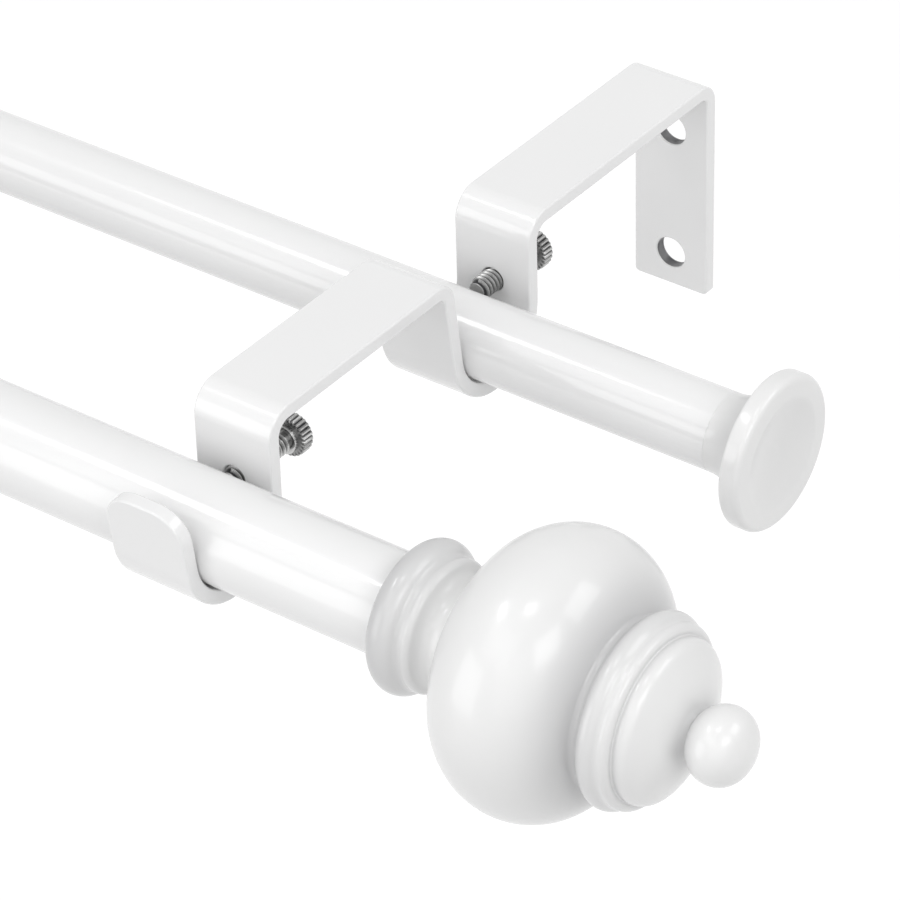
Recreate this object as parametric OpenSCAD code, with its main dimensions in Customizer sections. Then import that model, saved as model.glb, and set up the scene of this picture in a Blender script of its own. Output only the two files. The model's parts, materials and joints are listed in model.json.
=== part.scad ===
// Double curtain rod on two wall brackets, each bent from one flat steel strap.
// Millimetres. +X runs along the rods, +Y points into the wall, +Z is up.
// The origin is on the wall, midway between the two screw holes of the right bracket.

/* [Rods] */
// Outside diameter of the front rod's outer tube
front_rod_d = 20; // [17:0.5:24]
// Outside diameter of the rear rod's outer tube
rear_rod_d = 16; // [13:0.5:19]
// Wall of every tube
tube_wall = 0.8; // [0.6:0.05:1.2]
// Radial gap between an outer tube and the tube that slides in it
slide_gap = 0.1; // [0.05:0.01:0.1]
// Distance between the centre lines of the two brackets
bracket_span = 650; // [500:10:1100]
// Tube left showing between the left bracket and the outer tubes' mouths
mouth_to_bracket = 60; // [40:5:120]
// Front rod's overhang past a bracket's centre line
front_overhang = 49; // [40:1:90]
// Rear rod's overhang past a bracket's centre line
rear_overhang = 64; // [40:1:110]

/* [Bracket strap] */
// Width of the flat strap
strap_w = 18; // [16:0.5:26]
// Thickness of the strap
strap_t = 3; // [2:0.1:4]
// Wall face to the front face of the rear leg
rear_leg_out = 65.5; // [55:0.5:90]
// Wall face to the front face of the front leg
front_leg_out = 147; // [135:0.5:190]
// Height of the wall plate, from its foot to the top of the arm
plate_h = 51; // [44:0.5:80]
// Outside radius of the bends at the wall and over the rear riser
tight_bend_r = 5; // [4:0.5:8]
// Outside radius of the bends at the top of the two legs
leg_bend_r = 6; // [5:0.5:10]
// Room round the front rod in its hook, which sets the radius of both hooks
hook_gap = 1; // [0.6:0.1:2.5]
// Top of the arm down to the centre of the hooks
hook_drop = 19; // [17:0.5:30]
// Outward lean of the hooks' free sides
lip_lean = 8; // [2:1:14]
// Front lip's top, measured down from the top of the arm
lip_top_drop = 7.5; // [4:0.5:12]
// Corner radius of the front lip's rounded tab
tab_corner_r = 6.5; // [2:0.5:8]
// Corner radius at the foot of the wall plate
foot_corner_r = 1; // [0.5:0.5:4]

/* [Wall holes] */
// Diameter of the wall screw holes
wall_hole_d = 7; // [5:0.5:8]
// Distance between the two wall screw holes
wall_hole_pitch = 30; // [20:1:34]
// Lower wall screw hole above the foot of the plate
wall_hole_edge = 7.5; // [6:0.5:14]

/* [Thumb screws] */
// Thread diameter of the thumb screws
thread_d = 4.8; // [3.5:0.1:6]
// Length of the threaded shank, tip to collar
shank_l = 16; // [14:1:26]
// Diameter of the flat tip
tip_d = 3.4; // [2.4:0.1:4]
// Diameter of the collar under the head
collar_d = 6; // [5.6:0.1:8]
// Thickness of the collar
collar_t = 1.2; // [0.8:0.1:2]
// Diameter of the knurled head
head_d = 8.6; // [8:0.1:14]
// Thickness of the knurled head
head_t = 3; // [2:0.1:5]
// Chamfer at the two edges of the knurled head
head_edge = 0.35; // [0.2:0.05:0.8]
// Number of grooves round the head
head_grooves = 26; // [16:1:36]
// Top of the arm down to the thumb screws' axis
screw_drop = 16.5; // [15:0.5:24]

/* [Finials] */
// Largest diameter of the finial's bulb
bulb_d = 54.8; // [44:0.2:70]
// Length of the bulb along the rod
bulb_l = 36.6; // [33:0.2:44]
// Radius of the bulb round its equator
bulb_crown_r = 15; // [12:0.5:16]
// Diameter of the flange against the tube
flange_d = 29.8; // [27:0.2:36]
// Thickness of the flange
flange_t = 6.6; // [5:0.2:8]
// Diameter of the bead between the flange and the neck
bead_d = 25.8; // [22:0.2:27]
// Thickness of the bead
bead_t = 3; // [2:0.2:4]
// Diameter of the hollowed neck under the bulb
neck_d = 20; // [16:0.2:21]
// Length of the neck
neck_l = 5.8; // [4:0.2:8]
// Diameter of the cove between the bulb and the disc
cove_d = 32.4; // [26:0.2:34]
// Length of the cove
cove_l = 1.8; // [1.2:0.1:4]
// Diameter of the disc in front of the bulb
disc_d = 37.2; // [34:0.2:44]
// Thickness of the disc
disc_t = 4.4; // [3:0.2:6]
// Diameter of the ring on the disc's face
ring_d = 35; // [32:0.2:36]
// Thickness of that ring
ring_t = 2.6; // [2:0.2:3.6]
// Diameter of the dome that stands in the ring
dome_d = 31.2; // [26:0.2:32]
// Height of the dome above its widest place
dome_h = 6.2; // [5:0.2:10]
// Radius of the dome's shoulder
dome_crown_r = 2.6; // [1.6:0.2:4]
// Diameter of the neck under the ball
ball_neck_d = 7.6; // [5:0.2:9]
// Diameter of the flattened ball at the end
ball_d = 14.8; // [11:0.2:18]
// Length of the ball along the rod
ball_l = 12; // [10:0.2:16]

/* [End caps] */
// Diameter of the rear rod's end caps
cap_d = 31.6; // [26:0.2:40]
// Length of an end cap outside the tube
cap_l = 12.7; // [10:0.1:18]
// Thickness of the cap's rim
cap_rim_t = 4.2; // [3:0.2:6]
// Corner radius of the cap's rim
cap_rim_round = 1.4; // [0.6:0.1:1.4]
// Height of the step from the flared side up to the rim
cap_step = 1.8; // [0.4:0.1:3]
// Diameter of the dished middle of the cap's face
dish_d = 21.5; // [14:0.5:24]
// Depth of the dished middle
dish_depth = 1.6; // [0.6:0.1:2.5]
// Length of the spigot inside the tube
spigot_l = 15; // [10:1:25]
// Wall of the hollow spigot
spigot_wall = 1.6; // [1:0.1:2.4]

/* [Clearances] */
// Gap between a rod and the hook that it rests in
seat_gap = 0.3; // [0.2:0.05:0.4]
// Gap between a thumb screw's tip and the rod
tip_gap = 0.25; // [0.2:0.05:0.5]
// Radial clearance of a piece that draws in and out of a hole
draw_gap = 0.08; // [0.05:0.01:0.1]
// Radial clearance of a piece that is fixed in a hole
fixed_gap = 0.02; // [0.01:0.01:0.04]

/* [Hidden] */
$fn = 96;

PAINT = "white";
RESIN = "snow";
NICKEL = "dimgray";
STEEL = "silver";
NYLON = "whitesmoke";

// Overshoot of a cutter past the face that it cuts
cut = 1;
// Share of the head's edge that its grooves take up
groove_share = 0.55;
// Half size of the page that turned outlines are drawn on
page = 500;
// Set-back of one outline where it runs into another, so that the two cross cleanly
sink = 0.002;

// --- Heights and places that follow from the driving dimensions ---
foot_z = -(wall_hole_edge + wall_hole_pitch / 2);
arm_z = foot_z + plate_h;
hook_z = arm_z - hook_drop;
screw_z = arm_z - screw_drop;
hook_r = front_rod_d / 2 + hook_gap;
hook_outer_r = hook_r + strap_t;
rear_hook_y = -rear_leg_out - hook_r;
front_hook_y = -front_leg_out - hook_r;
bend_inner_r = tight_bend_r - strap_t;

// --- How the rods sit in the hooks ---
// A rod leans against the free side of its hook, so its centre lies off the hook's
// centre by its play. The inner tubes are thinner by step, so the left bracket is
// fixed higher by rise, which seats both of them level with the outer tubes.
step = tube_wall + slide_gap;
rear_seat_angle = 30;
rear_play = hook_r - rear_rod_d / 2 - seat_gap;
front_play = hook_r - front_rod_d / 2 - seat_gap;
rear_off = [rear_play * cos(rear_seat_angle), rear_play * sin(rear_seat_angle)];
rise = sqrt(pow(rear_play + step, 2) - pow(rear_off[0], 2)) - rear_off[1];
front_down = (step * (2 * front_play + step) / rise - rise) / 2;
front_off = [sqrt(pow(front_play, 2) - pow(front_down, 2)), front_down];
rear_rod_y = rear_hook_y - rear_off[0];
rear_rod_z = hook_z - rear_off[1];
front_rod_y = front_hook_y - front_off[0];
front_rod_z = hook_z - front_off[1];

// --- Stations along the rods ---
left_x = -bracket_span;
mouth_x = left_x + mouth_to_bracket;
front_tube_l = front_overhang - mouth_x;
rear_tube_l = rear_overhang - mouth_x;

// --- Fastening inside the end of the front rod ---
stud_d = 6;
stud_in_finial = 16;
stud_in_tube = 14;
stud_chamfer = 0.6;
plug_l = 18;

// --- Stations along the finial, counted from its face against the tube ---
// A hollow's lip stands half the hollow's radius above its bottom.
scoop_share = 0.57;
neck_lip_r = neck_d / 2 + neck_l * scoop_share / 2;
cove_lip_r = cove_d / 2 + cove_l * scoop_share / 2;
neck_x = flange_t + bead_t;
bulb_x = neck_x + neck_l + oval_reach(bulb_d / 2, bulb_l / 2, bulb_crown_r, neck_lip_r);
cove_x = bulb_x + oval_reach(bulb_d / 2, bulb_l / 2, bulb_crown_r, cove_lip_r);
disc_x = cove_x + cove_l;
ring_sink = 0.6;
ring_x = disc_x + disc_t - ring_sink;
dome_x = ring_x + ring_t + 0.8;
ball_sink = 0.5;
ball_crown_r = ball_l * 0.46;
ball_x = dome_x + dome_h - ball_sink + ball_l / 2;
ball_blend_r = 1.6;

// Radius of the flat-sided arcs of an oval
function oval_side_r(radius, half_l, crown_r) =
    (pow(radius - crown_r, 2) + pow(half_l, 2) - pow(crown_r, 2)) / (2 * (half_l - crown_r));

// How far an oval's side stands from its middle at radius r
function oval_reach(radius, half_l, crown_r, r) =
    sqrt(pow(oval_side_r(radius, half_l, crown_r), 2) - r * r)
    - oval_side_r(radius, half_l, crown_r) + half_l;

// ---------------------------------------------------------------- helpers

// Turns a shape made along +Z so that it runs along +X
module along_x() {
    rotate([0, 90, 0]) children();
}

// Turns a shape made along +Z so that it runs along +Y, towards the wall
module along_y() {
    rotate([-90, 0, 0]) children();
}

// Carries a shape made at the right-hand end over to the left-hand end
module at_left_end() {
    translate([left_x, 0, 0]) mirror([1, 0, 0]) children();
}

// Block from y0 to y1 and from z0 up to z1, with its top corners rounded by r0 and r1
module round_topped(y0, y1, z0, z1, r0, r1) {
    translate([y0 + r0, z0]) square([y1 - r1 - y0 - r0, z1 - z0]);
    translate([y0, z0]) square([r0 + cut, z1 - r0 - z0]);
    translate([y1 - r1 - cut, z0]) square([r1 + cut, z1 - r1 - z0]);
    if (r0 > 0) translate([y0 + r0, z1 - r0]) circle(r = r0);
    if (r1 > 0) translate([y1 - r1, z1 - r1]) circle(r = r1);
}

// Half of a band of given length, in the outline of a turned piece
module turned_band(x0, length, r) {
    translate([0, x0]) square([r, length]);
}

// Half outline of a disc with fully rounded rim
module round_rim(x0, thickness, r) {
    translate([r - thickness / 2, x0 + thickness / 2]) circle(d = thickness);
    turned_band(x0, thickness, r - thickness / 2);
}

// Half outline of a disc whose rim has rounded corners of radius c
module soft_rim(x0, thickness, r, c) {
    turned_band(x0, thickness, r - c);
    turned_band(x0 + c, thickness - 2 * c, r);
    for (x = [x0 + c, x0 + thickness - c]) {
        translate([r - c, x]) circle(r = c);
    }
}

// Half outline of a squashed ball: two flat-sided arcs blended by a crown arc
module oval_half(x, radius, half_l, crown_r) {
    side_r = oval_side_r(radius, half_l, crown_r);
    join_r = (radius - crown_r) * side_r / (side_r - crown_r);
    translate([0, x]) {
        intersection() {
            translate([0, half_l - side_r]) circle(r = side_r, $fn = 200);
            translate([0, side_r - half_l]) circle(r = side_r, $fn = 200);
            translate([0, -half_l - cut]) square([join_r, 2 * (half_l + cut)]);
        }
        translate([radius - crown_r - sink, 0]) circle(r = crown_r + sink);
    }
}

// Half outline of a hollow between two mouldings. Its band runs on by reach on both sides,
// into the mouldings.
module scoop(x0, length, bottom_r, reach) {
    r = length * scoop_share;
    difference() {
        turned_band(x0 - reach, length + 2 * reach, bottom_r + r / 2);
        translate([bottom_r + r, x0 + length / 2]) circle(r = r);
    }
}

// Spins a half outline, drawn with its axis up the page, about the X axis
module turn_about_x() {
    along_x() rotate_extrude() intersection() {
        children();
        translate([0, -page]) square([page, 2 * page]);
    }
}

// --------------------------------------------------------------- brackets

// The strap's side view is made of two arms and two hooks. An arm is a round-cornered
// block less the bay under it, and a hook is a round-bottomed block less its inside.
// The free side of each hook leans out. The rear one is a riser that runs up into the
// front arm through a tight bend, and the front one is the lip. Where a leaning side
// runs into a round it is set back by sink.
riser_bend_z = arm_z - tight_bend_r + sink;
riser_face_r = hook_outer_r + bend_inner_r - 2 * sink;
riser_run = (riser_bend_z - hook_z + riser_face_r * sin(lip_lean)) / cos(lip_lean);
riser_bend_y = rear_hook_y - riser_face_r * cos(lip_lean) - riser_run * sin(lip_lean);
riser_split = riser_run - tight_bend_r - cut;
riser_lap = tight_bend_r / 2;
lip_run = (arm_z - lip_top_drop - hook_z + hook_outer_r * sin(lip_lean)) / cos(lip_lean);
bay_floor_z = hook_z - cut;
bay_roof_z = arm_z - strap_t;

// Wall plate, rear arm and rear leg
module rear_arm_profile() {
    translate([-strap_t, foot_z]) square([strap_t, arm_z - tight_bend_r - foot_z]);
    difference() {
        round_topped(-rear_leg_out, 0, hook_z, arm_z, leg_bend_r, tight_bend_r);
        round_topped(-rear_leg_out + strap_t, -strap_t, bay_floor_z, bay_roof_z,
            leg_bend_r - strap_t, bend_inner_r);
    }
}

// Front leg, front arm and the tight bend at its end, down to the middle of the riser
module front_arm_profile() {
    difference() {
        union() {
            round_topped(-front_leg_out, riser_bend_y, hook_z, arm_z, leg_bend_r, 0);
            translate([riser_bend_y, riser_bend_z]) circle(r = tight_bend_r);
            on_riser() square([strap_t, riser_run - riser_split]);
        }
        round_topped(-front_leg_out + strap_t, riser_bend_y, bay_floor_z, bay_roof_z,
            leg_bend_r - strap_t, 0);
        translate([riser_bend_y, riser_bend_z]) circle(r = bend_inner_r);
        on_riser() translate([-2 * tight_bend_r, -cut])
            square([2 * tight_bend_r, riser_run - riser_split + cut]);
    }
}

// Puts a shape's corner on the riser's outer face, halfway up
module on_riser() {
    translate([rear_hook_y, hook_z]) rotate(lip_lean)
        translate([sink - hook_outer_r, riser_split]) children();
}

// Hook with its free side free_l long
module hook_profile(hook_y, free_l) {
    translate([hook_y, hook_z]) difference() {
        union() {
            circle(r = hook_outer_r);
            rotate(lip_lean) translate([sink - hook_outer_r, 0]) square([hook_outer_r, free_l]);
        }
        circle(r = hook_r);
        square([hook_r, hook_outer_r]);
        rotate(lip_lean) translate([sink - hook_r, 0]) square([2 * hook_r, free_l + hook_outer_r]);
    }
}

// Side view of the whole strap, drawn in Y and Z
module strap_profile() {
    rear_arm_profile();
    front_arm_profile();
    hook_profile(rear_hook_y, riser_split + riser_lap);
    hook_profile(front_hook_y, lip_run);
}

// Waste outside the two rounded corners of a strap end, whose edge lies on Y = 0
module corner_waste(corner_r) {
    for (side = [-1, 1]) {
        difference() {
            translate([side * (strap_w - corner_r + cut) / 2, (cut - corner_r) / 2])
                square([corner_r + cut, corner_r + cut], center = true);
            translate([side * (strap_w / 2 - corner_r), -corner_r]) circle(r = corner_r);
        }
    }
}

// The same waste as a cutter through the strap, standing in the XZ plane
module corner_cutter(corner_r) {
    translate([0, strap_t + cut, 0]) rotate([90, 0, 0])
        linear_extrude(strap_t + 2 * cut) corner_waste(corner_r);
}

// Hole through a leg or the wall plate, whose front face is at face_y
module strap_hole(face_y, z, d) {
    translate([0, face_y - cut, z]) along_y() cylinder(d = d, h = strap_t + 2 * cut);
}

// The bent strap with its wall holes, tapped holes and rounded ends
module bracket() {
    color(PAINT) difference() {
        translate([-strap_w / 2, 0, 0]) rotate([90, 0, 90]) linear_extrude(strap_w) strap_profile();
        for (z = [-wall_hole_pitch / 2, wall_hole_pitch / 2]) {
            strap_hole(-strap_t, z, wall_hole_d);
        }
        for (leg_y = [-rear_leg_out, -front_leg_out]) {
            strap_hole(leg_y, screw_z, thread_d + 2 * draw_gap);
        }
        translate([0, -strap_t, foot_z]) mirror([0, 0, 1]) corner_cutter(foot_corner_r);
        translate([0, front_hook_y, hook_z]) rotate([lip_lean, 0, 0])
            translate([0, -hook_outer_r, lip_run]) corner_cutter(tab_corner_r);
    }
}

module bracket_right() {
    bracket();
}

module bracket_left() {
    translate([left_x, 0, rise]) bracket();
}

// ----------------------------------------------------------- thumb screws

// How far behind its centre line a rod reaches at height low above it, counted over
// its whole way out of the hook along the leaning side
function rod_back(rod_r, low) =
    low < rod_r * sin(lip_lean) ? rod_r : (rod_r - low * sin(lip_lean)) / cos(lip_lean);

// Turned outline of a thumb screw from its tip, with its axis up the page
module thumb_screw_half() {
    tip_chamfer = (thread_d - tip_d) / 2;
    head_z = shank_l + collar_t;
    polygon([
        [0, 0],
        [tip_d / 2, 0],
        [thread_d / 2, tip_chamfer],
        [thread_d / 2, shank_l],
        [collar_d / 2, shank_l],
        [collar_d / 2, head_z],
        [head_d / 2 - head_edge, head_z],
        [head_d / 2, head_z + head_edge],
        [head_d / 2, head_z + head_t - head_edge],
        [head_d / 2 - head_edge, head_z + head_t],
        [0, head_z + head_t]
    ]);
}

// Thumb screw along +Y with the middle of its tip at the origin
module thumb_screw() {
    groove_w = groove_share * PI * head_d / head_grooves;
    color(NICKEL) along_y() difference() {
        rotate_extrude() thumb_screw_half();
        for (i = [0 : head_grooves - 1]) {
            rotate(i * 360 / head_grooves) translate([head_d / 2, 0, shank_l + collar_t - cut / 2])
                cylinder(d = groove_w, h = head_t + cut, $fn = 4);
        }
    }
}

// Places a thumb screw behind a rod, its tip just clear of the rod
module screw_behind(x, bracket_up, rod_y, rod_z, rod_r) {
    z = screw_z + bracket_up;
    low = z - tip_d / 2 - rod_z;
    translate([x, rod_y + rod_back(rod_r, low) + tip_gap, z]) thumb_screw();
}

module thumb_screw_rear_right() {
    screw_behind(0, 0, rear_rod_y, rear_rod_z, rear_rod_d / 2);
}

module thumb_screw_front_right() {
    screw_behind(0, 0, front_rod_y, front_rod_z, front_rod_d / 2);
}

module thumb_screw_rear_left() {
    screw_behind(left_x, rise, rear_rod_y, rear_rod_z, rear_rod_d / 2 - step);
}

module thumb_screw_front_left() {
    screw_behind(left_x, rise, front_rod_y, front_rod_z, front_rod_d / 2 - step);
}

// ------------------------------------------------------------------ tubes

// Tube along +X
module tube(x, y, z, length, d) {
    color(PAINT) translate([x, y, z]) along_x() difference() {
        cylinder(d = d, h = length);
        translate([0, 0, -cut]) cylinder(d = d - 2 * tube_wall, h = length + 2 * cut);
    }
}

module rear_outer_tube() {
    tube(mouth_x, rear_rod_y, rear_rod_z, rear_tube_l, rear_rod_d);
}

module rear_inner_tube() {
    tube(left_x - rear_overhang, rear_rod_y, rear_rod_z, rear_tube_l, rear_rod_d - 2 * step);
}

module front_outer_tube() {
    tube(mouth_x, front_rod_y, front_rod_z, front_tube_l, front_rod_d);
}

module front_inner_tube() {
    tube(left_x - front_overhang, front_rod_y, front_rod_z, front_tube_l, front_rod_d - 2 * step);
}

// --------------------------------------------------------------- end caps

// End cap for a tube of radius tube_r, its shoulder on X = 0. Its side flares out like
// a trumpet from the tube to the rim, and its face is dished.
module end_cap(tube_r) {
    spigot_r = tube_r - tube_wall - draw_gap;
    flare_l = cap_l - cap_rim_t;
    flare_end_r = cap_d / 2 - cap_step;
    flare_rise = flare_end_r - tube_r;
    flare_arc = (pow(flare_rise, 2) + pow(flare_l, 2)) / (2 * flare_rise);
    dish_sphere = (pow(dish_d / 2, 2) + pow(dish_depth, 2)) / (2 * dish_depth);
    color(RESIN) turn_about_x() difference() {
        union() {
            turned_band(-spigot_l, spigot_l, spigot_r);
            difference() {
                turned_band(0, flare_l, flare_end_r);
                translate([tube_r + flare_arc, 0]) circle(r = flare_arc);
            }
            soft_rim(flare_l, cap_rim_t, cap_d / 2, cap_rim_round);
        }
        turned_band(-spigot_l - cut, spigot_l + cut, spigot_r - spigot_wall);
        translate([0, cap_l - dish_depth + dish_sphere]) circle(r = dish_sphere, $fn = 200);
    }
}

module end_cap_right() {
    translate([rear_overhang, rear_rod_y, rear_rod_z]) end_cap(rear_rod_d / 2);
}

module end_cap_left() {
    at_left_end() translate([rear_overhang, rear_rod_y, rear_rod_z]) end_cap(rear_rod_d / 2 - step);
}

// ---------------------------------------------------------------- finials

// Puts a piece made about the X axis at the right-hand end of the front rod
module at_front_end() {
    translate([front_overhang, front_rod_y, front_rod_z]) children();
}

// Threaded plug inside the end of a tube of radius tube_r
module tube_plug(tube_r) {
    color(NYLON) translate([-plug_l, 0, 0]) along_x() difference() {
        cylinder(r = tube_r - tube_wall - fixed_gap, h = plug_l);
        translate([0, 0, -cut]) cylinder(r = stud_d / 2 + draw_gap, h = plug_l + 2 * cut);
    }
}

// Steel stud that the finial carries
module finial_stud() {
    color(STEEL) turn_about_x() polygon([
        [0, -stud_in_tube],
        [stud_d / 2 - stud_chamfer, -stud_in_tube],
        [stud_d / 2, -stud_in_tube + stud_chamfer],
        [stud_d / 2, stud_in_finial],
        [0, stud_in_finial]
    ]);
}

// Half outline of the urn: flange, bead, neck, bulb, cove, disc, ring, dome and ball
module finial_half() {
    round_rim(0, flange_t, flange_d / 2);
    round_rim(flange_t, bead_t, bead_d / 2);
    scoop(neck_x, neck_l, neck_d / 2, bead_t / 2);
    oval_half(bulb_x, bulb_d / 2, bulb_l / 2, bulb_crown_r);
    scoop(cove_x, cove_l, cove_d / 2, disc_t / 2);
    round_rim(disc_x, disc_t, disc_d / 2);
    round_rim(ring_x, ring_t, ring_d / 2);
    oval_half(dome_x, dome_d / 2, dome_h, dome_crown_r);
    difference() {
        turned_band(dome_x, dome_h + ball_sink, ball_neck_d / 2 + ball_blend_r);
        translate([ball_neck_d / 2 + ball_blend_r, dome_x + dome_h + ball_sink]) circle(r = ball_blend_r);
    }
    oval_half(ball_x, ball_d / 2, ball_l / 2, ball_crown_r);
}

module finial() {
    color(RESIN) difference() {
        turn_about_x() finial_half();
        translate([-cut, 0, 0]) along_x() cylinder(r = stud_d / 2 + fixed_gap, h = stud_in_finial + cut);
    }
}

module tube_plug_right() {
    at_front_end() tube_plug(front_rod_d / 2);
}

module tube_plug_left() {
    at_left_end() at_front_end() tube_plug(front_rod_d / 2 - step);
}

module finial_stud_right() {
    at_front_end() finial_stud();
}

module finial_stud_left() {
    at_left_end() at_front_end() finial_stud();
}

module finial_right() {
    at_front_end() finial();
}

module finial_left() {
    at_left_end() at_front_end() finial();
}

bracket_right();
bracket_left();
thumb_screw_rear_right();
thumb_screw_front_right();
thumb_screw_rear_left();
thumb_screw_front_left();
rear_outer_tube();
rear_inner_tube();
end_cap_right();
end_cap_left();
front_outer_tube();
front_inner_tube();
tube_plug_right();
tube_plug_left();
finial_stud_right();
finial_stud_left();
finial_right();
finial_left();
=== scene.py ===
"""Looks of a telescoping curtain rod set, built round its packed construction frame.

Two white tubes lie in the hooks of two strap brackets that screw to a wall. Thumb screws
hold them there, an urn finial closes each end of the front rod and a dished cap each end
of the rear one. Everything is in metres, in the frame's own axes: +X runs along the rods,
+Y points into the wall and +Z is up.
"""
import json
import logging
import math
from dataclasses import dataclass, field
from enum import Enum

import bmesh
import bpy
from mathutils import Matrix, Vector


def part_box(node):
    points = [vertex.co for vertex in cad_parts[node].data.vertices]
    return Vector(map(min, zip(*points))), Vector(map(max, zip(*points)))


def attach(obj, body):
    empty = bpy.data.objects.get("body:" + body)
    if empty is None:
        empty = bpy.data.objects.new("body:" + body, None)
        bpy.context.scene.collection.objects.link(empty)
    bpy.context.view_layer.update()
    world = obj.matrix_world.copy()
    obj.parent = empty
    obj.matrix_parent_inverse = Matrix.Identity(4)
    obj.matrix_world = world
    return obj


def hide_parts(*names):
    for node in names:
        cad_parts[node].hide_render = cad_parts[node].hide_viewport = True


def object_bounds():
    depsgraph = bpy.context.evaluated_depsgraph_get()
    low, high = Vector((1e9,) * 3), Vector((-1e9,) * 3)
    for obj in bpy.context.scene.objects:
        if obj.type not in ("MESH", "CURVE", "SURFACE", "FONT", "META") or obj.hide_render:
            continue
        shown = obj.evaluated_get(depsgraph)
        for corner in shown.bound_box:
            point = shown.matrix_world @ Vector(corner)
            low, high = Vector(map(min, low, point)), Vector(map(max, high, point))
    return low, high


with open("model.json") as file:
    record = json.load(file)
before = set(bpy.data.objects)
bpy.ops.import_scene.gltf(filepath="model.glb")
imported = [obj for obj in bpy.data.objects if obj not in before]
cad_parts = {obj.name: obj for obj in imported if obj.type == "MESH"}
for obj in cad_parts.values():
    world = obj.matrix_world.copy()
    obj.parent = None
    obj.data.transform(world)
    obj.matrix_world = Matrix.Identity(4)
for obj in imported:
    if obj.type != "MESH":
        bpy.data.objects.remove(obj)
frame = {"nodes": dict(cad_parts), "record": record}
CAD_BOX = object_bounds()

LOG = logging.getLogger("curtain_rod")
MM = 0.001
# Less than any size of the object
HAIR = 0.01 * MM


class Side(Enum):
    """The two ends of the rod set, with the sign of the X direction that points outwards."""

    RIGHT = 1
    LEFT = -1

    @property
    def word(self) -> str:
        """The end's name as the frame's nodes and bodies spell it."""
        return self.name.lower()


class Row(Enum):
    """The two rods, counted from the wall."""

    REAR = "rear"
    FRONT = "front"


# ------------------------------------------------------------------------ node helpers

Colour = tuple[float, float, float]
Span = tuple[float, float]

# Parts of a noise's range that a pattern is spread over. The narrower, the more contrast.
GENTLE: Span = (0.2, 0.8)
CLEAR: Span = (0.3, 0.7)
STRONG: Span = (0.35, 0.65)


class Nodes:
    """A node tree, with short calls that add and join nodes."""

    def __init__(self, tree: bpy.types.NodeTree, output: str) -> None:
        """Empties a tree and gives it its output.

        Args:
            tree: the tree of a new material or world.
            output: the type of its output node.
        """
        self.tree = tree
        self.tree.nodes.clear()
        self.output = self.add(output)

    def add(self, kind: str, **values: object) -> bpy.types.Node:
        """Adds a node and sets its properties or the values of its inputs.

        Args:
            kind: the node's type, such as ShaderNodeTexNoise.
            **values: a property's name, or an input's name with _ for spaces, and its value.

        Returns:
            The new node.
        """
        node = self.tree.nodes.new(kind)
        for key, value in values.items():
            if hasattr(node, key):
                setattr(node, key, value)
            else:
                node.inputs[key.replace("_", " ")].default_value = value
        return node

    def join(self, source: bpy.types.NodeSocket, target: bpy.types.NodeSocket) -> None:
        """Links an output socket to an input socket."""
        self.tree.links.new(source, target)

    def feed(self, target: bpy.types.NodeSocket, value: object) -> None:
        """Gives an input its value.

        Args:
            target: the input.
            value: the value, or the socket that gives it.
        """
        if isinstance(value, bpy.types.NodeSocket):
            self.join(value, target)
        else:
            target.default_value = value

    def reckon(self, operation: str,
               *values: bpy.types.NodeSocket | float) -> bpy.types.NodeSocket:
        """Adds one step of arithmetic.

        Args:
            operation: its kind, such as MULTIPLY.
            *values: the numbers, or the sockets that give them, in order.

        Returns:
            The result.
        """
        node = self.add("ShaderNodeMath", operation=operation)
        for target, value in zip(node.inputs, values):
            self.feed(target, value)
        return node.outputs[0]

    def spread(self, value: bpy.types.NodeSocket, bounds: Span,
               result: Span = (0.0, 1.0)) -> bpy.types.NodeSocket:
        """Maps a value smoothly from one range to another, held inside it.

        Args:
            value: the value to map.
            bounds: the values that give the two results.
            result: the two results.

        Returns:
            The mapped value.
        """
        node = self.add("ShaderNodeMapRange", clamp=True, interpolation_type="SMOOTHSTEP",
                        From_Min=bounds[0], From_Max=bounds[1], To_Min=result[0],
                        To_Max=result[1])
        self.join(value, node.inputs["Value"])
        return node.outputs["Result"]

    def seen(self) -> bpy.types.NodeSocket:
        """Tells apart what is looked at and what only lights the scene.

        Returns:
            1 where the camera looks, directly or in a reflection, and otherwise 0.
        """
        path = self.add("ShaderNodeLightPath").outputs
        mirror = self.reckon("MAXIMUM", path["Is Glossy Ray"], path["Is Transmission Ray"])
        return self.reckon("MAXIMUM", path["Is Camera Ray"], mirror)


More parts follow.
